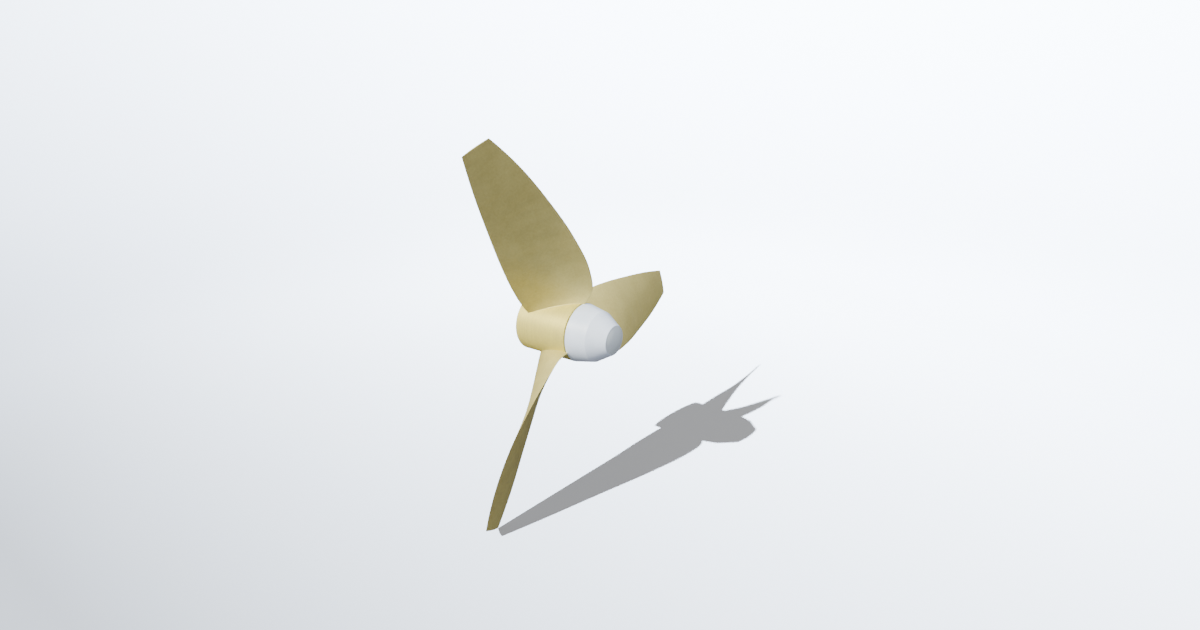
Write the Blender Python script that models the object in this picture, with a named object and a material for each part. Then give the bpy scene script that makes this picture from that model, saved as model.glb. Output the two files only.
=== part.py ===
"""Three-bladed ship propeller, left-handed, with its hub, boss cap and cover plate.

The shaft axis is X, with +X aft, towards the cap. The origin is on that axis, in the
plane of the hub's forward face. Lengths are in metres and Z is up. One empty carries
every piece, and each is set along the shaft axis or turned about it.
"""
from math import atan2, cos, hypot, pi, radians, sin

import bmesh
import bpy

# Driving dimensions
TIP_RADIUS = 1.200
BLADE_COUNT = 3
FIRST_BLADE_ANGLE = 0.0

HUB_RADIUS = 0.169
HUB_LENGTH = 0.350
HUB_EDGE = 0.005
HUB_EDGE_MIDDLE = 0.3 * HUB_EDGE  # where a rounded edge lies halfway round

BORE_RADIUS = 0.090
BORE_TAPER = 1 / 24
RELIEF_START = 0.115
RELIEF_END = 0.235
RELIEF_RADIUS = 0.093
KEYWAY_WIDTH = 0.044
KEYWAY_DEPTH = 0.013

CAP_LENGTH = 0.218
CAP_SHOULDER = 0.122
CAP_SHOULDER_RADIUS = 0.143
CAP_NOSE_RADIUS = 0.084
CAP_WALL = 0.018

# The open groove round the joint of hub and cap, half its width in each
GROOVE_WIDTH = 0.009
GROOVE_DEPTH = 0.010

PLATE_RADIUS = 0.080
PLATE_THICKNESS = 0.014
PLATE_RISE = 0.016
LEDGE_RADIUS = 0.068
LEDGE_THICKNESS = 0.012

# Where two pieces meet, a hairline is left between them
GAP = 0.0003

# How far a cutting shape runs on past what it cuts, and how deep the blades start inside the hub
OVERRUN = 0.020
ROOT_DEPTH = 0.020

# The blade, laid out as propeller drawings do: one row for each cylindrical section, root to tip,
# with radius, chord, pitch, skew of the mid-chord along the arc, and distance from the forward face
BLADE_SECTIONS = (
    (0.168, 0.334, 1.79, -0.015, 0.215),
    (0.240, 0.406, 1.73, -0.049, 0.226),
    (0.360, 0.442, 1.96, -0.067, 0.229),
    (0.540, 0.428, 2.12, -0.069, 0.223),
    (0.780, 0.364, 2.19, -0.066, 0.203),
    (1.020, 0.270, 2.11, -0.051, 0.188),
    (TIP_RADIUS, 0.163, 1.99, -0.032, 0.177),
)
ROOT_THICKNESS = 0.067
TIP_THICKNESS = 0.007
ROOT_CAMBER = 0.025
CAMBER_FADE = 4
EDGE_FULLNESS = 0.15  # 0 gives a section of two arcs with sharp edges, 1 a full ellipse

# How finely the curved surfaces are divided
TURNED_SIDES = 96
SECTION_STEPS = 14
SPAN_STEPS = 24
DOME_STEPS = 6


def make_material(name, colour, metallic, roughness):
    material = bpy.data.materials.new(name)
    material.use_nodes = True
    shader = material.node_tree.nodes["Principled BSDF"]
    shader.inputs["Base Color"].default_value = (*colour, 1.0)
    shader.inputs["Metallic"].default_value = metallic
    shader.inputs["Roughness"].default_value = roughness
    return material


def finish_mesh(name, bm, material, smooth_angle=30.0):
    """Close up a bmesh as a mesh, smooth where its faces meet at less than an angle."""
    bmesh.ops.recalc_face_normals(bm, faces=bm.faces)
    mesh = bpy.data.meshes.new(name)
    bm.to_mesh(mesh)
    bm.free()
    mesh.shade_smooth()
    mesh.set_sharp_from_angle(angle=radians(smooth_angle))
    mesh.materials.append(material)
    return mesh


def place(name, mesh, parent, along=0.0, turn=0.0):
    """Set an object on its parent's shaft axis, at a distance along it and a turn about it."""
    obj = bpy.data.objects.new(name, mesh)
    obj.parent = parent
    obj.location.x = along
    obj.rotation_euler.x = turn
    bpy.context.collection.objects.link(obj)
    return obj


def place_cutter(name, bm, parent):
    obj = place(name, finish_mesh(name, bm, bpy.data.materials["cutter"]), parent)
    obj.hide_render = True
    obj.display_type = "WIRE"
    return obj


def subtract(obj, cutter):
    modifier = obj.modifiers.new(cutter.name, "BOOLEAN")
    modifier.operation = "DIFFERENCE"
    modifier.solver = "EXACT"
    modifier.object = cutter


def turned_ring(bm, x, radius):
    """One ring of vertices round the shaft axis, or a single vertex where the radius is zero."""
    if radius == 0:
        return [bm.verts.new((x, 0.0, 0.0))]
    ring = []
    for i in range(TURNED_SIDES):
        angle = 2 * pi * i / TURNED_SIDES
        ring.append(bm.verts.new((x, radius * cos(angle), radius * sin(angle))))
    return ring


def join_rings(bm, first, second):
    for i in range(TURNED_SIDES):
        j = (i + 1) % TURNED_SIDES
        if len(first) == 1:
            bm.faces.new((first[0], second[i], second[j]))
        elif len(second) == 1:
            bm.faces.new((first[i], first[j], second[0]))
        else:
            bm.faces.new((first[i], first[j], second[j], second[i]))


def turned(profile, closed):
    """A solid of revolution about the shaft axis, from (x, radius) points along its outline."""
    bm = bmesh.new()
    rings = [turned_ring(bm, x, radius) for x, radius in profile]
    for first, second in zip(rings, rings[1:]):
        join_rings(bm, first, second)
    if closed:
        join_rings(bm, rings[-1], rings[0])
    return bm


def bore_radius(x):
    return BORE_RADIUS - BORE_TAPER * x


def build_hub(propeller, material):
    """The boss: a plain cylinder, bored to a taper that is relieved in the middle, with a keyway."""
    groove = HUB_LENGTH - GROOVE_WIDTH / 2
    profile = [
        (0.0, bore_radius(0.0)),
        (0.0, HUB_RADIUS - HUB_EDGE),
        (HUB_EDGE_MIDDLE, HUB_RADIUS - HUB_EDGE_MIDDLE),
        (HUB_EDGE, HUB_RADIUS),
        (groove, HUB_RADIUS),
        (groove, HUB_RADIUS - GROOVE_DEPTH),
        (HUB_LENGTH, HUB_RADIUS - GROOVE_DEPTH),
        (HUB_LENGTH, bore_radius(HUB_LENGTH)),
        (RELIEF_END, bore_radius(RELIEF_END)),
        (RELIEF_END, RELIEF_RADIUS),
        (RELIEF_START, RELIEF_RADIUS),
        (RELIEF_START, bore_radius(RELIEF_START)),
    ]
    hub = place("hub", finish_mesh("hub", turned(profile, closed=True), material), propeller)
    subtract(hub, build_keyway_cutter(propeller))


def build_keyway_cutter(propeller):
    """A long block along the top of the bore, sloped with its taper and running out at both ends."""
    bm = bmesh.new()
    half = KEYWAY_WIDTH / 2
    sections = []
    for x in (-OVERRUN, HUB_LENGTH + OVERRUN):
        top = bore_radius(x) + KEYWAY_DEPTH
        low = bore_radius(x) / 2
        corners = ((-half, low), (half, low), (half, top), (-half, top))
        sections.append([bm.verts.new((x, y, z)) for y, z in corners])
    bm.faces.new(sections[0])
    bm.faces.new(sections[1])
    for i in range(4):
        j = (i + 1) % 4
        bm.faces.new((sections[0][i], sections[0][j], sections[1][j], sections[1][i]))
    return place_cutter("keyway_cutter", bm, propeller)


def smooth_through(stations, values, at):
    """A smooth curve through the values, each slope being the parabola's through its neighbours."""
    steps = [b - a for a, b in zip(stations, stations[1:])]
    rises = [(b - a) / step for a, b, step in zip(values, values[1:], steps)]
    slopes = [0.0] * len(stations)
    for i in range(1, len(stations) - 1):
        slopes[i] = (rises[i - 1] * steps[i] + rises[i] * steps[i - 1]) / (steps[i] + steps[i - 1])
    slopes[0] = 2 * rises[0] - slopes[1]
    slopes[-1] = 2 * rises[-1] - slopes[-2]
    at = min(max(at, stations[0]), stations[-1])
    i = max(k for k in range(len(steps)) if stations[k] <= at)
    w = (at - stations[i]) / steps[i]
    return (
        (2 * w**3 - 3 * w**2 + 1) * values[i]
        + (w**3 - 2 * w**2 + w) * steps[i] * slopes[i]
        + (3 * w**2 - 2 * w**3) * values[i + 1]
        + (w**3 - w**2) * steps[i] * slopes[i + 1]
    )


def section_at(radius):
    """Chord, pitch angle, skew, rake, thickness and camber of the section at a radius."""
    radii, chords, pitches, skews, rakes = zip(*BLADE_SECTIONS)
    chord = smooth_through(radii, chords, radius)
    pitch = smooth_through(radii, pitches, radius)
    skew = smooth_through(radii, skews, radius)
    rake = smooth_through(radii, rakes, radius)
    root = radii[0]
    span = min(max((radius - root) / (TIP_RADIUS - root), 0.0), 1.0)
    thickness = ROOT_THICKNESS + (TIP_THICKNESS - ROOT_THICKNESS) * span
    camber = ROOT_CAMBER * (1 - span) ** CAMBER_FADE
    angle = atan2(pitch, 2 * pi * max(radius, root))
    return chord, angle, skew, rake, thickness, camber


def section_point(radius, along, side):
    """A point on a blade that stands along +Y.

    along runs from -1 at the leading edge to 1 at the trailing edge, and side is 1 on the
    face that looks aft and -1 on the back that looks forward.
    """
    chord, angle, skew, rake, thickness, camber = section_at(radius)
    bulge = 1 - along**2
    fullness = EDGE_FULLNESS + (1 - EDGE_FULLNESS) * bulge
    off = side * thickness / 2 * (bulge * fullness) ** 0.5 - camber * bulge
    x = rake + along * chord / 2 * sin(angle) + off * cos(angle)
    arc = skew - along * chord / 2 * cos(angle) + off * sin(angle)
    at = arc / radius
    return (x, radius * cos(at), radius * sin(at))


def lofted_blade():
    """Lens-shaped sections lofted from inside the hub to a tip that is cut off square."""
    bm = bmesh.new()
    inner = HUB_RADIUS - ROOT_DEPTH
    sections = []
    for i in range(SPAN_STEPS + 1):
        radius = inner + (TIP_RADIUS - inner) * i / SPAN_STEPS
        alongs = [-cos(pi * k / SECTION_STEPS) for k in range(SECTION_STEPS + 1)]
        face = [bm.verts.new(section_point(radius, along, 1)) for along in alongs]
        back = [bm.verts.new(section_point(radius, along, -1)) for along in alongs[1:-1]]
        sections.append((face, [face[0], *back, face[-1]]))
    for (face, back), (next_face, next_back) in zip(sections, sections[1:]):
        for k in range(SECTION_STEPS):
            bm.faces.new((face[k], face[k + 1], next_face[k + 1], next_face[k]))
            bm.faces.new((back[k + 1], back[k], next_back[k], next_back[k + 1]))
    for face, back in (sections[0], sections[-1]):
        for k in range(SECTION_STEPS):
            corners = [face[k], face[k + 1], back[k + 1], back[k]]
            bm.faces.new(list(dict.fromkeys(corners)))
    bmesh.ops.triangulate(bm, faces=bm.faces)
    return bm


def build_blades(propeller, material):
    """The blades share one mesh; each is turned about the shaft and cut off just clear of the hub."""
    start, end = -OVERRUN, HUB_LENGTH + OVERRUN
    seat_radius = HUB_RADIUS + GAP
    barrel = [(start, 0.0), (start, seat_radius), (end, seat_radius), (end, 0.0)]
    seat = place_cutter("blade_seat_cutter", turned(barrel, closed=False), propeller)
    mesh = finish_mesh("blade", lofted_blade(), material)
    for i in range(BLADE_COUNT):
        turn = radians(FIRST_BLADE_ANGLE) + 2 * pi * i / BLADE_COUNT
        blade = place(f"blade_{i + 1}", mesh, propeller, turn=turn)
        subtract(blade, seat)


def build_cap(propeller, material):
    """The fairwater cap: two cones, hollow and open to the hub, with a ledge for the nose plate.

    Its origin lies in the hub's aft face.
    """
    groove = GROOVE_WIDTH / 2
    seat = CAP_LENGTH - PLATE_THICKNESS - GAP
    ledge = seat - LEDGE_THICKNESS
    back_slope = (HUB_RADIUS - CAP_SHOULDER_RADIUS) / CAP_SHOULDER
    nose_slope = (CAP_SHOULDER_RADIUS - CAP_NOSE_RADIUS) / (CAP_LENGTH - CAP_SHOULDER)
    back_wall = CAP_WALL * hypot(1, back_slope)
    nose_wall = CAP_WALL * hypot(1, nose_slope)
    # the inner corner lies where the walls' inner faces meet
    inner_shoulder = (nose_wall - back_wall) / (nose_slope - back_slope)
    profile = [
        (GAP, HUB_RADIUS - back_wall),
        (GAP, HUB_RADIUS - GROOVE_DEPTH),
        (groove, HUB_RADIUS - GROOVE_DEPTH),
        (groove, HUB_RADIUS - back_slope * groove),
        (CAP_SHOULDER, CAP_SHOULDER_RADIUS),
        (CAP_LENGTH, CAP_NOSE_RADIUS),
        (CAP_LENGTH, PLATE_RADIUS + GAP),
        (seat, PLATE_RADIUS + GAP),
        (seat, LEDGE_RADIUS),
        (ledge, LEDGE_RADIUS),
        (ledge, CAP_SHOULDER_RADIUS - nose_slope * (ledge - CAP_SHOULDER) - nose_wall),
        (CAP_SHOULDER - inner_shoulder, CAP_SHOULDER_RADIUS + back_slope * inner_shoulder - back_wall),
    ]
    mesh = finish_mesh("boss_cap", turned(profile, closed=True), material)
    return place("boss_cap", mesh, propeller, along=HUB_LENGTH)


def build_plate(cap, material):
    """The round cover plate in the cap's nose, domed a little. Its origin lies in the nose's end."""
    dome = []
    for i in range(DOME_STEPS):
        share = 1 - i / DOME_STEPS
        dome.append((PLATE_RISE * (1 - share**2), PLATE_RADIUS * share))
    profile = [(-PLATE_THICKNESS, 0.0), (-PLATE_THICKNESS, PLATE_RADIUS), *dome, (PLATE_RISE, 0.0)]
    mesh = finish_mesh("cover_plate", turned(profile, closed=False), material)
    place("cover_plate", mesh, cap, along=CAP_LENGTH)


def main():
    for obj in list(bpy.data.objects):
        bpy.data.objects.remove(obj, do_unlink=True)
    bronze = make_material("cast_bronze", (0.64, 0.56, 0.20), 0.4, 0.50)
    paint = make_material("cap_paint", (0.75, 0.83, 0.93), 0.0, 0.42)
    steel = make_material("plate_steel", (0.70, 0.78, 0.87), 0.0, 0.42)
    make_material("cutter", (0.8, 0.2, 0.1), 0.0, 0.5)
    propeller = place("propeller", mesh=None, parent=None)
    build_hub(propeller, bronze)
    build_blades(propeller, bronze)
    cap = build_cap(propeller, paint)
    build_plate(cap, steel)


main()
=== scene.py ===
from math import atan2, cos, hypot, pi, radians, sin, sqrt, tan

import bmesh
import bpy
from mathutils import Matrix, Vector


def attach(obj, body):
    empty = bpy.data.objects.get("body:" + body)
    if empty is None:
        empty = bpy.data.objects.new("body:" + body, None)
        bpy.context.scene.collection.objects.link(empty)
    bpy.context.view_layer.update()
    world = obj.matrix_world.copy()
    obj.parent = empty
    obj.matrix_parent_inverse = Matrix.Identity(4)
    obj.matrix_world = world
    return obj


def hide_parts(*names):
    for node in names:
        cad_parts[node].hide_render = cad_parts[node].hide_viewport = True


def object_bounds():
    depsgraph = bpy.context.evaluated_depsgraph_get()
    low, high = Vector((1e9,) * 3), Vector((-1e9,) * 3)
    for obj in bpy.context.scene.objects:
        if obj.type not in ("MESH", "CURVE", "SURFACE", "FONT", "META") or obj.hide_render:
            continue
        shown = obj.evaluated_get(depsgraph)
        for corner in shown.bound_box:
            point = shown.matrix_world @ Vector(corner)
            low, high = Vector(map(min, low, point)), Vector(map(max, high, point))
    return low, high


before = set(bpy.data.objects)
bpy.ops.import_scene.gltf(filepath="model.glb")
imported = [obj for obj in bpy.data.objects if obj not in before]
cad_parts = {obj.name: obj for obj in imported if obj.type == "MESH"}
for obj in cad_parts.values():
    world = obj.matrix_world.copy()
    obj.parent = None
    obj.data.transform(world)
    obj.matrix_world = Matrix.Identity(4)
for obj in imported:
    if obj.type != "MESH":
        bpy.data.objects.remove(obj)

cadLow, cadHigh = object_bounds()  # for the floor's level and the size printed at the end
mm = 0.001


def fromHex(code):  # an sRGB hex colour as linear red, green, blue and alpha
    shares = [int(code[i:i + 2], 16) / 255 for i in (1, 3, 5)]
    return [s / 12.92 if s <= 0.04045 else ((s + 0.055) / 1.055) ** 2.4 for s in shares] + [1.0]


def addNode(tree, kind, inputs=None, **settings):
    # inputs: socket name or number to a plain value, or to a (node, output) pair that is linked in
    node = tree.nodes.new(kind)
    for name, value in settings.items():
        setattr(node, name, value)
    for socket, value in (inputs or {}).items():
        if isinstance(value, tuple) and isinstance(value[0], bpy.types.Node):
            tree.links.new(value[0].outputs[value[1]], node.inputs[socket])
        else:
            node.inputs[socket].default_value = value
    return node


def newMaterial(name):
    material = bpy.data.materials.new(name)
    material.use_nodes = True
    tree = material.node_tree
    tree.nodes.clear()
    output = addNode(tree, "ShaderNodeOutputMaterial")
    print("making the material", name)
    return material, tree, output


def finishPiece(piece, material, nodeName):
    # every piece gets its finish, rides on the one body and stands for its CAD node
    piece.data.materials.append(material)
    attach(piece, "root")
    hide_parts(nodeName)
    print("made", piece.name, "with", len(piece.data.polygons), "faces")


def meshObject(name, bm, sharpAngle=32):
    bmesh.ops.recalc_face_normals(bm, faces=bm.faces)
    mesh = bpy.data.meshes.new(name)
    bm.to_mesh(mesh)
    bm.free()
    mesh.shade_smooth()
    mesh.set_sharp_from_angle(angle=radians(sharpAngle))
    piece = bpy.data.objects.new(name, mesh)
    bpy.context.collection.objects.link(piece)
    weighted = piece.modifiers.new("weighted normals", "WEIGHTED_NORMAL")
    weighted.keep_sharp = True  # flats stay flat beside their rounded edges
    return piece


# Materials

noiseLow, noiseHigh = 0.25, 0.75  # nearly all of a noise texture lies between these
sumLow, sumHigh = 0.75, 1.25  # and the sum of two of them between these

bronze = {
    # the film's colour where the metal was last worked and where it is older and browner,
    # and how dark and how light the tool marks are drawn
    "ground": {"light": "#D0C680", "dark": "#C5BA74", "marks": (0.95, 1.04)},
    # brighter and yellower than the ground film: partly fresh metal, partly painted light on the boss
    "turned": {"light": "#DDD176", "dark": "#D1C46B", "marks": (0.88, 1.07)},
    "freshEdge": "#D4CD8E",  # handled and water-worn edges
    "metallic": 0.4,  # half way to bare metal: the oxide film hides the rest of its mirror
    "roughness": 0.50,
    "roughnessSpread": 0.07,  # smoother and rougher than that across the tool marks
    "reliefDepth": 0.4 * mm,
    "reliefStrength": 0.25,
    "mottleSize": 120 * mm,
    "fineMottleSize": 13 * mm,
    "strokeSpacing": 5 * mm,  # real strokes lie under 1 mm apart: drawn coarser, so that they show
    "strokeLength": 120 * mm,
    "passWidth": 32 * mm,  # the grinding pad's passes, broad enough to show from a few metres
    "passLength": 224 * mm,
    "passSlant": 12,  # degrees off the chord
    "passShare": 0.55,  # how much of the marks is passes, the rest being strokes
    "turningPitch": 10 * mm,  # a real feed is under 1 mm: the widest rings are drawn this coarse to show
    "ringDrift": 2.0,  # how much the rings change on their way round, for each metre
    "poreSpacing": 25 * mm,
    "poreRadius": (1.5 * mm, 2.7 * mm),  # of a pore's flat floor, and where its slope ends
    "poreDepth": 0.6,  # against the tool marks' height
    "rubbedWidth": (3 * mm, 14 * mm),  # how far in from an edge it is rubbed bright, at least and at most
    "rubbedRaggedness": 18 * mm,  # how fast that width changes along the edge
    "rubbedShare": 0.3,  # how much of the fresh colour shows at the very edge
    "rubbedFrom": 0.6,  # on the turned boss, which has few edges, it shows where the tone is above this
}


def bronzeTone(tree, place):
    # the slow colour drift of the film: a broad mottle with a finer one inside it
    broad = addNode(tree, "ShaderNodeTexNoise", {
        "Vector": place, "Scale": 1 / bronze["mottleSize"], "Detail": 3.0, "Roughness": 0.5})
    fine = addNode(tree, "ShaderNodeTexNoise", {
        "Vector": place, "Scale": 1 / bronze["fineMottleSize"], "Detail": 4.0, "Roughness": 0.6})
    both = addNode(tree, "ShaderNodeMath", {0: (broad, 0), 1: (fine, 0)}, operation="ADD")
    return addNode(tree, "ShaderNodeMapRange", {
        "Value": (both, 0), "From Min": sumLow, "From Max": sumHigh})


def bronzeShader(tree, output, finish, tone, marks, pores, edge):
    # tone, marks, pores and edge are (node, output) pairs from 0 to 1
    film = addNode(tree, "ShaderNodeMix", {
        0: tone, 6: fromHex(finish["light"]), 7: fromHex(finish["dark"])}, data_type="RGBA")
    darkest, lightest = finish["marks"]
    shade = addNode(tree, "ShaderNodeMapRange", {
        "Value": marks, "From Min": noiseLow, "From Max": noiseHigh, "To Min": darkest, "To Max": lightest})
    marked = addNode(tree, "ShaderNodeVectorMath", {0: (film, 2), "Scale": (shade, 0)}, operation="SCALE")
    colour = addNode(tree, "ShaderNodeMix", {
        0: edge, 6: (marked, 0), 7: fromHex(bronze["freshEdge"])}, data_type="RGBA")
    rough = addNode(tree, "ShaderNodeMapRange", {
        "Value": marks, "From Min": noiseLow, "From Max": noiseHigh,
        "To Min": bronze["roughness"] - bronze["roughnessSpread"],
        "To Max": bronze["roughness"] + bronze["roughnessSpread"]})
    # a rubbed edge is a little smoother, and a pore lies lower than the marks round it
    worn = addNode(tree, "ShaderNodeMath", {
        0: edge, 1: -bronze["roughnessSpread"], 2: (rough, 0)}, operation="MULTIPLY_ADD")
    relief = addNode(tree, "ShaderNodeMath", {
        0: pores, 1: -bronze["poreDepth"], 2: marks}, operation="MULTIPLY_ADD")
    bump = addNode(tree, "ShaderNodeBump", {
        "Height": (relief, 0), "Strength": bronze["reliefStrength"], "Distance": bronze["reliefDepth"]})
    shader = addNode(tree, "ShaderNodeBsdfPrincipled", {
        "Base Color": (colour, 2), "Metallic": bronze["metallic"],
        "Roughness": (worn, 0), "Normal": (bump, 0)})
    tree.links.new(shader.outputs[0], output.inputs["Surface"])


def castingPores(tree, place):
    # scattered shallow pores, a few millimetres across, as a sand casting keeps after grinding
    spacing = bronze["poreSpacing"]
    floor, rim = bronze["poreRadius"]
    cells = addNode(tree, "ShaderNodeTexVoronoi", {"Vector": place, "Scale": 1 / spacing, "Randomness": 1.0})
    return addNode(tree, "ShaderNodeMapRange", {
        "Value": (cells, 0), "From Min": floor / spacing, "From Max": rim / spacing,
        "To Min": 1.0, "To Max": 0.0})


# Manganese bronze, sand cast and then ground by hand in strokes along the chord: a dull tan sheen,
# long fine strokes that show only close by, and edges rubbed a little brighter.
def groundBronze():
    material, tree, output = newMaterial("manganese bronze, cast and hand ground")
    spread = addNode(tree, "ShaderNodeUVMap", uv_map="metres")  # chord along U, radius along V
    place = addNode(tree, "ShaderNodeTexCoord")
    stretched = addNode(tree, "ShaderNodeMapping", {
        "Vector": (spread, 0), "Scale": (1 / bronze["strokeLength"], 1 / bronze["strokeSpacing"], 1.0)})
    strokes = addNode(tree, "ShaderNodeTexNoise", {
        "Vector": (stretched, 0), "Scale": 1.0, "Detail": 5.0, "Roughness": 0.62, "Distortion": 0.4})
    padded = addNode(tree, "ShaderNodeMapping", {
        "Vector": (spread, 0), "Rotation": (0, 0, radians(bronze["passSlant"])),
        "Scale": (1 / bronze["passLength"], 1 / bronze["passWidth"], 1.0)})
    passes = addNode(tree, "ShaderNodeTexNoise", {
        "Vector": (padded, 0), "Scale": 1.0, "Detail": 1.0, "Distortion": 0.8})
    marks = addNode(tree, "ShaderNodeMix", {
        0: bronze["passShare"], 2: (strokes, 0), 3: (passes, 0)}, data_type="FLOAT")
    distance = addNode(tree, "ShaderNodeAttribute", attribute_name="edgeDistance")
    ragged = addNode(tree, "ShaderNodeTexNoise", {
        "Vector": (place, "Object"), "Scale": 1 / bronze["rubbedRaggedness"], "Detail": 4.0})
    narrow, wide = bronze["rubbedWidth"]
    reach = addNode(tree, "ShaderNodeMapRange", {
        "Value": (ragged, 0), "From Min": noiseLow, "From Max": noiseHigh, "To Min": narrow, "To Max": wide})
    edge = addNode(tree, "ShaderNodeMapRange", {
        "Value": (distance, "Fac"), "From Max": (reach, 0), "To Min": bronze["rubbedShare"], "To Max": 0.0})
    tone = bronzeTone(tree, (place, "Object"))
    pores = castingPores(tree, (place, "Object"))
    bronzeShader(tree, output, bronze["ground"], (tone, 0), (marks, 0), (pores, 0), (edge, 0))
    return material


# The same bronze, turned in a lathe: faint rings round the shaft axis, on the boss and its end faces,
# and a brighter and yellower film than the blades have: partly fresh turned metal, partly painted light that
# makes the boss look more strongly lit.
def turnedBronze():
    material, tree, output = newMaterial("manganese bronze, cast and turned")
    place = addNode(tree, "ShaderNodeTexCoord")
    rings = turningRings(tree, (place, "Object"))
    tone = bronzeTone(tree, (place, "Object"))
    pores = castingPores(tree, (place, "Object"))
    rubbed = addNode(tree, "ShaderNodeMapRange", {
        "Value": (tone, 0), "From Min": bronze["rubbedFrom"], "To Max": bronze["rubbedShare"] / 2})
    bronzeShader(tree, output, bronze["turned"], (tone, 0), (rings, 0), (pores, 0), (rubbed, 0))
    return material


def turningRings(tree, place):
    # noise that changes fast along the axis and the radius and slowly round them
    parts = addNode(tree, "ShaderNodeSeparateXYZ", {0: place})
    across = addNode(tree, "ShaderNodeCombineXYZ", {"Y": (parts, "Y"), "Z": (parts, "Z")})
    radius = addNode(tree, "ShaderNodeVectorMath", {0: (across, 0)}, operation="LENGTH")
    around = addNode(tree, "ShaderNodeMath", {0: (parts, "Y"), 1: (parts, "Z")}, operation="ADD")
    fine, slow = 1 / bronze["turningPitch"], bronze["ringDrift"]
    alongFine = addNode(tree, "ShaderNodeMath", {0: (parts, "X"), 1: fine}, operation="MULTIPLY")
    radiusFine = addNode(tree, "ShaderNodeMath", {0: (radius, 1), 1: fine}, operation="MULTIPLY")
    aroundSlow = addNode(tree, "ShaderNodeMath", {0: (around, 0), 1: slow}, operation="MULTIPLY")
    lathe = addNode(tree, "ShaderNodeCombineXYZ", {
        "X": (alongFine, 0), "Y": (radiusFine, 0), "Z": (aroundSlow, 0)})
    return addNode(tree, "ShaderNodeTexNoise", {
        "Vector": (lathe, 0), "Scale": 1.0, "Detail": 5.0, "Roughness": 0.7})


paint = {
    "colour": "#D9E6FF",
    "rubbed": "#CFDDF6",  # a little thinner and greyer
    "roughness": (0.37, 0.50),  # where the coat is thick and where it is thin
    "cloudSize": 90 * mm,  # how far apart the coat runs thick and thin
    "thinning": (0.35, 0.70),  # the noise's values where the coat begins to thin and where it is thinnest
    "peelSize": 7 * mm,  # a real one is 2 to 3 mm: drawn coarser, so that it shows
    "peelDepth": 0.3 * mm,
    "peelStrength": 0.15,
}


# Pale grey gloss paint, sprayed on the cap and gone satin: smooth and even, with a faint orange peel.
def sprayedPaint(name, tint):
    material, tree, output = newMaterial(name)
    place = addNode(tree, "ShaderNodeTexCoord")
    cloud = addNode(tree, "ShaderNodeTexNoise", {
        "Vector": (place, "Object"), "Scale": 1 / paint["cloudSize"], "Detail": 4.0})
    first, last = paint["thinning"]
    thin = addNode(tree, "ShaderNodeMapRange", {
        "Value": (cloud, 0), "From Min": first, "From Max": last})
    colour = addNode(tree, "ShaderNodeMix", {
        0: (thin, 0), 6: fromHex(tint["colour"]), 7: fromHex(tint["rubbed"])}, data_type="RGBA")
    peel = addNode(tree, "ShaderNodeTexNoise", {
        "Vector": (place, "Object"), "Scale": 1 / paint["peelSize"], "Detail": 2.0})
    thickRough, thinRough = paint["roughness"]
    rough = addNode(tree, "ShaderNodeMapRange", {
        "Value": (cloud, 0), "To Min": thickRough, "To Max": thinRough})
    bump = addNode(tree, "ShaderNodeBump", {
        "Height": (peel, 0), "Strength": paint["peelStrength"], "Distance": paint["peelDepth"]})
    shader = addNode(tree, "ShaderNodeBsdfPrincipled", {
        "Base Color": (colour, 2), "Metallic": 0.0, "IOR": 1.5,
        "Roughness": (rough, 0), "Normal": (bump, 0)})
    tree.links.new(shader.outputs[0], output.inputs["Surface"])
    return material


# Turned pieces

def softOutline(corners, steps=5):
    # corners are (x, radius, rounding) in order round a closed outline; each rounding becomes an arc
    points = []
    for i, (x, radius, rounding) in enumerate(corners):
        here = Vector((x, radius))
        if rounding == 0:
            points.append((x, radius))
            continue
        back = (Vector(corners[i - 1][:2]) - here).normalized()
        ahead = (Vector(corners[(i + 1) % len(corners)][:2]) - here).normalized()
        half = back.angle(ahead) / 2
        centre = here + (back + ahead).normalized() * rounding / sin(half)
        start = here + back * rounding / tan(half) - centre
        end = here + ahead * rounding / tan(half) - centre
        first = atan2(start.y, start.x)
        sweep = atan2(end.y, end.x) - first
        sweep -= 2 * pi * round(sweep / (2 * pi))
        for k in range(steps + 1):
            at = first + sweep * k / steps
            points.append((centre.x + rounding * cos(at), centre.y + rounding * sin(at)))
    return points


def circleRing(bm, x, radius, sides):
    # the first point is at the top, and the rest go round towards +Y
    if radius == 0:
        return [bm.verts.new((x, 0, 0))]
    turns = [2 * pi * i / sides for i in range(sides)]
    return [bm.verts.new((x, radius * sin(t), radius * cos(t))) for t in turns]


def bridgeRings(bm, one, two):
    sides = max(len(one), len(two))
    for i in range(sides):
        j = (i + 1) % sides
        corners = [one[i % len(one)], one[j % len(one)], two[j % len(two)], two[i % len(two)]]
        bm.faces.new(list(dict.fromkeys(corners)))


def turnedPiece(name, outline, sides, closed):
    bm = bmesh.new()
    rings = [circleRing(bm, x, radius, sides) for x, radius in outline]
    pairs = list(zip(rings, rings[1:]))
    if closed:
        pairs.append((rings[-1], rings[0]))
    for one, two in pairs:
        bridgeRings(bm, one, two)
    return meshObject(name, bm)


# The hub

hub = {
    "radius": 169 * mm,
    "length": 350 * mm,
    "forwardRounding": 5 * mm,
    "aftRounding": 0.6 * mm,
    "grooveWidth": 9 * mm,  # the open groove round the joint with the cap, half its width in each
    "grooveDepth": 10 * mm,
    "boreRadius": 90 * mm,  # at the forward face
    "boreTaper": 1 / 24,  # radius lost for each metre aft
    "reliefStart": 115 * mm,
    "reliefEnd": 235 * mm,
    "reliefRadius": 93 * mm,
    "keywayWidth": 44 * mm,
    "keywayDepth": 13 * mm,
    "keywayCorner": 1.5 * mm,
    "keywaySteps": 4,  # across half its flat top
    "mouthChamfer": 2 * mm,
    "sides": 192,
    "barrelSteps": 12,
    "weld": 0.01 * mm,  # points closer than this become one
}


def boreAt(x):
    return hub["boreRadius"] - hub["boreTaper"] * x


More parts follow.
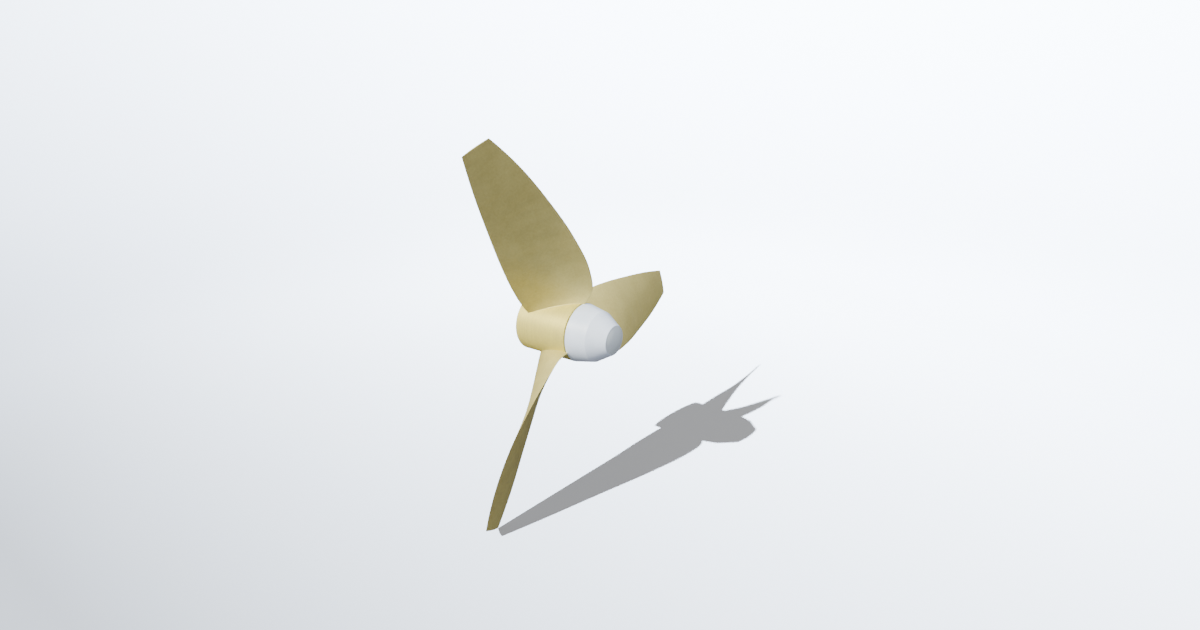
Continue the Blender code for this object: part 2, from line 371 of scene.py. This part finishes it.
def boreRing(bm, x, radius):
    # a circle with the keyway let into its top: one half from the top down, then its mirror image
    half, corner = hub["keywayWidth"] / 2, hub["keywayCorner"]
    bend = corner * (1 - sqrt(0.5))  # how far the middle of the rounded corner lies inside the sharp one
    top = boreAt(x) + hub["keywayDepth"]
    sill = sqrt(radius ** 2 - half ** 2)
    # one more point on the keyway's side, on the relief's edge where there is one
    reliefSill = sqrt(hub["reliefRadius"] ** 2 - half ** 2)
    inRelief = hub["reliefStart"] <= x <= hub["reliefEnd"]
    between = reliefSill if inRelief else (sill + top - corner) / 2
    across = hub["keywaySteps"]
    right = [((half - corner) * k / across, top) for k in range(1, across + 1)]
    right += [(half - bend, top - bend), (half, top - corner), (half, between), (half, sill)]
    start = atan2(half, sill)
    steps = hub["sides"] // 2 - len(right)
    for k in range(1, steps):
        at = start + (pi - start) * k / steps
        right.append((radius * sin(at), radius * cos(at)))
    left = [(-y, z) for y, z in reversed(right)]
    return [bm.verts.new((x, y, z)) for y, z in [(0, top), *right, (0, -radius), *left]]


def makeHub(material):
    bm = bmesh.new()
    length, radius, mouth = hub["length"], hub["radius"], hub["mouthChamfer"]
    groove, grooveFloor = length - hub["grooveWidth"] / 2, radius - hub["grooveDepth"]
    faceRadius = (radius + hub["boreRadius"]) / 2
    forward = softOutline([(0, faceRadius, 0), (0, radius, hub["forwardRounding"]), (groove, radius, 0)])[:-1]
    aft = softOutline([
        (0, radius, 0), (groove, radius, hub["aftRounding"]),
        (groove, grooveFloor, 0), (length, grooveFloor, 0), (length, faceRadius, 0)])[1:]
    start, end = forward[-1][0], aft[0][0]
    steps = hub["barrelSteps"]  # a few rings along the barrel, for even faces
    barrel = [(start + (end - start) * k / steps, radius) for k in range(1, steps)]
    rings = [circleRing(bm, x, r, hub["sides"]) for x, r in forward + barrel + aft]
    bore = [
        (length, boreAt(length) + mouth), (length - mouth, boreAt(length - mouth)),
        (hub["reliefEnd"], boreAt(hub["reliefEnd"])), (hub["reliefEnd"], hub["reliefRadius"]),
        (hub["reliefStart"], hub["reliefRadius"]), (hub["reliefStart"], boreAt(hub["reliefStart"])),
        (mouth, boreAt(mouth)), (0, boreAt(0) + mouth)]
    rings += [boreRing(bm, x, r) for x, r in bore]
    for one, two in zip(rings, rings[1:] + rings[:1]):
        bridgeRings(bm, one, two)
    # the relief's end walls have no width where they cross the keyway
    bmesh.ops.remove_doubles(bm, verts=bm.verts, dist=hub["weld"])
    finishPiece(meshObject("hub_boss", bm), material, "hub")


# The blades

blade = {
    "count": 3,
    "tipRadius": 1.200,
    # one row a section: radius, chord, pitch, skew of the mid-chord along the arc, rake from the origin
    "sections": [
        (0.168, 0.334, 1.79, -0.015, 0.215),
        (0.240, 0.406, 1.73, -0.049, 0.226),
        (0.360, 0.442, 1.96, -0.067, 0.229),
        (0.540, 0.428, 2.12, -0.069, 0.223),
        (0.780, 0.364, 2.19, -0.066, 0.203),
        (1.020, 0.270, 2.11, -0.051, 0.188),
        (1.200, 0.163, 1.99, -0.032, 0.177),
    ],
    "rootThickness": 67 * mm,
    "tipThickness": 7 * mm,
    "rootCamber": 25 * mm,
    "camberFade": 4,  # the power with which the camber falls off towards the tip
    "edgeFullness": 0.15,  # 0 gives a section of two arcs with sharp edges, 1 a full ellipse
    "fillet": 3 * mm,  # where the blade runs into the hub
    "tipRounding": 2 * mm,
    "sunk": 1.5 * mm,  # how deep its root stands in the hub
    "backShift": 0.7,  # the back's pattern lies this far beside the face's, not under it
    "stepsOut": 96,
    "stepsAcross": 36,
    "filletSteps": 10,
    "tipSteps": 5,
}


def smoothThrough(stations, values, at):
    # a smooth curve through the values: its slope at each is that of a parabola through the neighbours
    steps = [b - a for a, b in zip(stations, stations[1:])]
    rises = [(b - a) / step for a, b, step in zip(values, values[1:], steps)]
    slopes = [0.0] * len(stations)
    for i in range(1, len(stations) - 1):
        slopes[i] = (rises[i - 1] * steps[i] + rises[i] * steps[i - 1]) / (steps[i] + steps[i - 1])
    slopes[0] = 2 * rises[0] - slopes[1]
    slopes[-1] = 2 * rises[-1] - slopes[-2]
    at = min(max(at, stations[0]), stations[-1])
    i = max(k for k in range(len(steps)) if stations[k] <= at)
    w = (at - stations[i]) / steps[i]
    return (
        (2 * w ** 3 - 3 * w ** 2 + 1) * values[i]
        + (w ** 3 - 2 * w ** 2 + w) * steps[i] * slopes[i]
        + (3 * w ** 2 - 2 * w ** 3) * values[i + 1]
        + (w ** 3 - w ** 2) * steps[i] * slopes[i + 1])


def sectionAt(radius):
    # chord, pitch angle, skew, rake, thickness and camber at a radius
    radii, *columns = zip(*blade["sections"])
    chord, pitch, skew, rake = [smoothThrough(radii, column, radius) for column in columns]
    span = min(max((radius - radii[0]) / (blade["tipRadius"] - radii[0]), 0), 1)
    thickness = blade["rootThickness"] + (blade["tipThickness"] - blade["rootThickness"]) * span
    camber = blade["rootCamber"] * (1 - span) ** blade["camberFade"]
    return chord, atan2(pitch, 2 * pi * max(radius, radii[0])), skew, rake, thickness, camber


def sectionRing(radius, turn, grow):
    # the section's outline at a radius, let out all round by grow: the aft face, then the back
    chord, angle, skew, rake, thickness, camber = sectionAt(radius)
    rows = []
    for side in (1, -1):
        row = []
        for k in range(blade["stepsAcross"] + 1):
            along = -cos(pi * k / blade["stepsAcross"])
            bulge = 1 - along ** 2
            reach = along * (chord / 2 + grow)
            full = bulge * (blade["edgeFullness"] + (1 - blade["edgeFullness"]) * bulge)
            off = side * (thickness / 2 + grow) * sqrt(max(full, 0)) - camber * bulge
            arc = skew - reach * cos(angle) + off * sin(angle)
            at = turn + arc / radius
            place = (rake + reach * sin(angle) + off * cos(angle), radius * cos(at), radius * sin(at))
            row.append((place, reach, chord / 2 + grow - abs(reach)))
        rows.append(row)
    return rows


def bladeRadii():
    # (radius, growth) of each ring: the fillet, the span, then the rounding of the tip
    root, fillet, tip = hub["radius"], blade["fillet"], blade["tipRadius"] - blade["tipRounding"]
    rings = [(root - blade["sunk"], fillet)]
    for k in range(blade["filletSteps"]):
        at = pi / 2 * (1 - k / blade["filletSteps"])
        rings.append((root + fillet * (1 - sin(at)), fillet * (1 - cos(at))))
    low = root + fillet
    rings += [(low + (tip - low) * k / blade["stepsOut"], 0) for k in range(blade["stepsOut"] + 1)]
    for k in range(1, blade["tipSteps"] + 1):
        at = pi / 2 * k / blade["tipSteps"]
        rings.append((tip + blade["tipRounding"] * sin(at), -blade["tipRounding"] * (1 - cos(at))))
    return rings


def bladeRing(bm, radius, grow, turn, edgeDistance):
    # two rows of (vertex, offset along the chord); both faces meet on the two edges
    rows = []
    for row in sectionRing(radius, turn, grow):
        made = []
        for k, (place, reach, fromEdge) in enumerate(row):
            shared = rows and k in (0, blade["stepsAcross"])
            vert = rows[0][k][0] if shared else bm.verts.new(place)
            vert[edgeDistance] = min(fromEdge, blade["tipRadius"] - radius)
            made.append((vert, reach))
        rows.append(made)
    return rows


def makeBlade(number, material):
    bm = bmesh.new()
    spread = bm.loops.layers.uv.new("metres")
    edgeDistance = bm.verts.layers.float.new("edgeDistance")
    turn = 2 * pi * (number - 1) / blade["count"]
    steps = range(blade["stepsAcross"])
    rings = [(radius, bladeRing(bm, radius, grow, turn, edgeDistance)) for radius, grow in bladeRadii()]
    shifts = (0, blade["backShift"])
    for (radius, rows), (nextRadius, nextRows) in zip(rings, rings[1:]):
        for row, nextRow, shift in zip(rows, nextRows, shifts):
            for k in steps:
                corners = [
                    (row[k], radius), (row[k + 1], radius),
                    (nextRow[k + 1], nextRadius), (nextRow[k], nextRadius)]
                face = bm.faces.new([vert for (vert, reach), v in corners])
                for loop, ((vert, reach), v) in zip(face.loops, corners):
                    loop[spread].uv = (reach + shift, v)
    # the ends at root and tip, with a place of their own in the pattern
    for radius, (faceRow, backRow) in (rings[0], rings[-1]):
        for k in steps:
            corners = [faceRow[k][0], faceRow[k + 1][0], backRow[k + 1][0], backRow[k][0]]
            end = bm.faces.new(list(dict.fromkeys(corners)))
            for loop in end.loops:
                loop[spread].uv = (loop.vert.co.x + 2 * blade["backShift"], loop.vert.co.y)
    finishPiece(meshObject(f"blade_{number}_ground", bm), material, f"blade_{number}")


# The boss cap and the plate in its nose

cap = {
    "length": 218 * mm,
    "shoulder": 122 * mm,  # from the joint
    "shoulderRadius": 143 * mm,
    "noseRadius": 84 * mm,
    "wall": 18 * mm,
    "joint": 0.3 * mm,  # the hairline to the hub and round the plate
    "edgeRounding": 1.0 * mm,
    "shoulderRounding": 6 * mm,
    "noseRounding": 1.5 * mm,
    "seatRounding": 0.5 * mm,
    "ledgeRadius": 68 * mm,
    "ledgeThickness": 12 * mm,
    "sides": 192,
}
plate = {
    "radius": 80 * mm,
    "thickness": 14 * mm,
    "rise": 16 * mm,
    "rounding": 1.0 * mm,
    "domeSteps": 24,
    "colour": "#D1DEEA",
    "rubbed": "#CAD6E3",
}


def makeCap(material):
    base = hub["length"] + cap["joint"]
    shoulder = hub["length"] + cap["shoulder"]
    end = hub["length"] + cap["length"]
    seat = end - plate["thickness"] - cap["joint"]
    ledge = seat - cap["ledgeThickness"]
    groove, grooveFloor = hub["length"] + hub["grooveWidth"] / 2, hub["radius"] - hub["grooveDepth"]
    backSlope = (hub["radius"] - cap["shoulderRadius"]) / cap["shoulder"]
    noseSlope = (cap["shoulderRadius"] - cap["noseRadius"]) / (cap["length"] - cap["shoulder"])
    backWall = cap["wall"] * hypot(1, backSlope)
    noseWall = cap["wall"] * hypot(1, noseSlope)
    inner = (noseWall - backWall) / (noseSlope - backSlope)  # the inner corner lies this far before the outer
    outline = softOutline([
        (base, hub["radius"] - backWall, 0), (base, grooveFloor, 0), (groove, grooveFloor, 0),
        (groove, hub["radius"] - backSlope * (groove - hub["length"]), cap["edgeRounding"]),
        (shoulder, cap["shoulderRadius"], cap["shoulderRounding"]),
        (end, cap["noseRadius"], cap["noseRounding"]),
        (end, plate["radius"] + cap["joint"], cap["seatRounding"]),
        (seat, plate["radius"] + cap["joint"], 0), (seat, cap["ledgeRadius"], 0),
        (ledge, cap["ledgeRadius"], 0),
        (ledge, cap["shoulderRadius"] - noseSlope * (ledge - shoulder) - noseWall, 0),
        (shoulder - inner, cap["shoulderRadius"] + backSlope * inner - backWall, 0)])
    piece = turnedPiece("boss_cap_painted", outline, cap["sides"], closed=True)
    finishPiece(piece, material, "boss_cap")


def makePlate(material):
    # from the middle of the domed front, over the rim, to the middle of the back
    end = hub["length"] + cap["length"]
    back = end - plate["thickness"]
    shares = [k / plate["domeSteps"] for k in range(1, plate["domeSteps"])]
    dome = [(end + plate["rise"] * (1 - share ** 2), plate["radius"] * share) for share in shares]
    rim = softOutline([
        (*dome[-1], 0), (end, plate["radius"], plate["rounding"]),
        (back, plate["radius"], plate["rounding"]), (back, 0, 0)])
    outline = [(end + plate["rise"], 0)] + dome[:-1] + rim
    piece = turnedPiece("cover_plate_painted", outline, cap["sides"], closed=False)
    finishPiece(piece, material, "cover_plate")


# The studio

studio = {
    "lightFrom": (-0.2023, -0.7375, 0.6443),  # towards the lamp
    "lampStrength": 6.63,
    "lampColour": "#FFF9E1",
    "lampSize": 0.6,  # degrees across; small, so that the shadow keeps its edge
    # how bright the soft room is towards each side: mostly overhead, some from the lamp's side
    "room": {(0, 0, 1): 2.23, (0, -1, 0): 0.86, (0, 1, 0): 0.11, (0, 0, -1): 0.12},
    "roomColour": "#FFFFFF",
    "floorLampStrength": 231.0,
    "floorLampColour": "#E2EFFF",
    "paper": "#8C8D8F",  # toned, and lit so hard that it looks nearly white: its shadow stays mid grey
    # as bright as the paper's shadow, so that the lit paper can dim while its shadow keeps its tone
    "shadowGlow": 0.43,
    "shadowColour": "#F8FAFF",
    # (place along Y, share of the lit paper there): painted shade, the rest being the shadow glow, so that
    # the paper is darker towards the lamp's side and grows brighter away from it
    "paintedPaperFade": ((-2.23, 0.09), (5.95, 1.0)),
    "glowSlope": (0.04, 0.74, 0.67),  # the direction in which the glow further out gets brighter
    "glowFade": ((-1.9, 3.2), (9.0, 15.2)),  # (place in that direction, brightness there)
    "glowColour": "#DDEBFF",
    "fadeStart": 3.1,  # the paper runs over into the glow between these distances from the origin
    "fadeEnd": 7.6,
    "floorFlat": 5.0,  # the flat part's radius
    "floorReach": 9.0,  # the dome's radius
    "floorMiddle": 10 * mm,  # the radius of the one round face in the flat part's middle
    "floorSides": 96,
    "floorSteps": 12,
}
photoCamera = {
    "distance": 3.9232,  # from the origin
    "azimuth": 41.1102,  # in degrees, as the next three are
    "elevation": 20.3181,
    "tiltDown": 19.999,
    "yaw": 35.0753,
    "focal": 658.7266,  # in pixels of a frame 1200 wide
    "frameWidth": 1200,
    "sensorWidth": 36,  # in millimetres, as Blender counts a sensor and a lens
    "farthest": 100,  # how far it sees
}


def makeFloor():
    # a round sweep: flat under the propeller, then curving up all round into a dome far from it
    level = cadLow.z
    reach, flat, sides = studio["floorReach"], studio["floorFlat"], studio["floorSides"]
    bend = reach - flat
    quarter = [pi / 2 * k / studio["floorSteps"] for k in range(1, studio["floorSteps"] + 1)]
    outline = [(level, studio["floorMiddle"]), (level, flat / 2), (level, flat)]
    outline += [(level + bend * (1 - cos(at)), flat + bend * sin(at)) for at in quarter]
    outline += [(level + bend + reach * sin(at), reach * cos(at)) for at in quarter[:-1]]
    turns = [2 * pi * i / sides for i in range(sides)]
    bm = bmesh.new()
    rings = [[bm.verts.new((r * cos(t), r * sin(t), z)) for t in turns] for z, r in outline]
    for one, two in zip(rings, rings[1:]):
        bridgeRings(bm, one, two)
    bm.faces.new(rings[0])
    bm.faces.new(rings[-1])
    bmesh.ops.recalc_face_normals(bm, faces=bm.faces)
    bmesh.ops.reverse_faces(bm, faces=bm.faces)  # it is seen from inside
    mesh = bpy.data.meshes.new("floor_sweep")
    bm.to_mesh(mesh)
    bm.free()
    mesh.shade_smooth()
    mesh.materials.append(floorPaper())
    floor = bpy.data.objects.new("floor_sweep", mesh)
    bpy.context.collection.objects.link(floor)
    # only the camera sees it: the lamps reach through it and it throws no light back
    floor.visible_diffuse = False
    floor.visible_glossy = False
    floor.visible_shadow = False
    print("made the floor at", round(level, 4))
    return floor


# Matt paper that looks white: lit and shadowed near the propeller, with painted shade that darkens it towards
# the lamp's side, and fading into a soft glow further out, which has no texture and no shadow.
def floorPaper():
    material, tree, output = newMaterial("matt paper sweep")
    place = addNode(tree, "ShaderNodeTexCoord")
    parts = addNode(tree, "ShaderNodeSeparateXYZ", {0: (place, "Object")})
    (nearY, nearShare), (farY, farShare) = studio["paintedPaperFade"]
    # painted shade: towards the lamp's side the lit paper gives way to a glow as bright as its shadow
    tone = addNode(tree, "ShaderNodeMapRange", {
        "Value": (parts, "Y"), "From Min": nearY, "From Max": farY, "To Min": nearShare, "To Max": farShare})
    lit = addNode(tree, "ShaderNodeBsdfDiffuse", {"Color": fromHex(studio["paper"])})
    still = addNode(tree, "ShaderNodeEmission", {
        "Color": fromHex(studio["shadowColour"]), "Strength": studio["shadowGlow"]})
    matt = addNode(tree, "ShaderNodeMixShader", {0: (tone, 0), 1: (still, 0), 2: (lit, 0)})
    onward = addNode(tree, "ShaderNodeVectorMath", {
        0: (place, "Object"), 1: studio["glowSlope"]}, operation="DOT_PRODUCT")
    (low, dim), (high, bright) = studio["glowFade"]
    brightness = addNode(tree, "ShaderNodeMapRange", {
        "Value": (onward, 1), "From Min": low, "From Max": high, "To Min": dim, "To Max": bright})
    glow = addNode(tree, "ShaderNodeEmission", {
        "Color": fromHex(studio["glowColour"]), "Strength": (brightness, 0)})
    far = addNode(tree, "ShaderNodeVectorMath", {0: (place, "Object")}, operation="LENGTH")
    fade = addNode(tree, "ShaderNodeMapRange", {
        "Value": (far, 1), "From Min": studio["fadeStart"], "From Max": studio["fadeEnd"]},
        interpolation_type="SMOOTHSTEP")
    mixed = addNode(tree, "ShaderNodeMixShader", {0: (fade, 0), 1: (matt, 0), 2: (glow, 0)})
    tree.links.new(mixed.outputs[0], output.inputs["Surface"])
    return material


def makeLamp(name, strength, colour):
    lamp = bpy.data.lights.new(name, "SUN")
    lamp.energy = strength
    lamp.color = fromHex(colour)[:3]
    lamp.angle = radians(studio["lampSize"])
    lampObject = bpy.data.objects.new(name, lamp)
    lampObject.rotation_euler = Vector(studio["lightFrom"]).to_track_quat("Z", "Y").to_euler()
    bpy.context.collection.objects.link(lampObject)
    return lampObject


def makeLight(floor):
    makeLamp("lamp", studio["lampStrength"], studio["lampColour"])
    # a second lamp from the same side falls on the floor alone and keeps it nearly white
    floorLamp = makeLamp("floor lamp", studio["floorLampStrength"], studio["floorLampColour"])
    onlyFloor = bpy.data.collections.new("floor only")
    onlyFloor.objects.link(floor)
    floorLamp.light_linking.receiver_collection = onlyFloor
    world = bpy.data.worlds.new("soft room")
    world.use_nodes = True
    tree = world.node_tree
    tree.nodes.clear()
    place = addNode(tree, "ShaderNodeTexCoord")
    # each side's light is brightest straight towards it and gone a quarter turn away
    total = None
    for side, strength in studio["room"].items():
        facing = addNode(tree, "ShaderNodeVectorMath", {
            0: (place, "Generated"), 1: side}, operation="DOT_PRODUCT")
        share = addNode(tree, "ShaderNodeMapRange", {"Value": (facing, 1), "To Max": strength})
        if total is None:
            total = share
        else:
            total = addNode(tree, "ShaderNodeMath", {0: (total, 0), 1: (share, 0)}, operation="ADD")
    background = addNode(tree, "ShaderNodeBackground", {
        "Color": fromHex(studio["roomColour"]), "Strength": (total, 0)})
    addNode(tree, "ShaderNodeOutputWorld", {"Surface": (background, 0)})
    bpy.context.scene.world = world
    print("made the light")


def makeCamera():
    view = photoCamera
    data = bpy.data.cameras.new("camera")
    data.sensor_width = view["sensorWidth"]
    data.lens = view["focal"] / view["frameWidth"] * view["sensorWidth"]
    data.clip_end = view["farthest"]
    camera = bpy.data.objects.new("camera", data)
    azimuth, elevation = radians(view["azimuth"]), radians(view["elevation"])
    towards = Vector((sin(azimuth) * cos(elevation), -cos(azimuth) * cos(elevation), sin(elevation)))
    camera.location = towards * view["distance"]
    camera.rotation_euler = (radians(90 - view["tiltDown"]), 0, radians(view["yaw"]))
    bpy.context.collection.objects.link(camera)
    bpy.context.scene.camera = camera
    print("made the camera")


makeCamera()
hubBronze = turnedBronze()
bladeBronze = groundBronze()
makeHub(hubBronze)
for number in range(1, blade["count"] + 1):
    makeBlade(number, bladeBronze)
makeCap(sprayedPaint("pale grey paint, sprayed", paint))
makePlate(sprayedPaint("pale grey paint on steel plate, sprayed", plate))
makeLight(makeFloor())

print("size of the CAD", [round(v, 4) for v in cadHigh - cadLow])
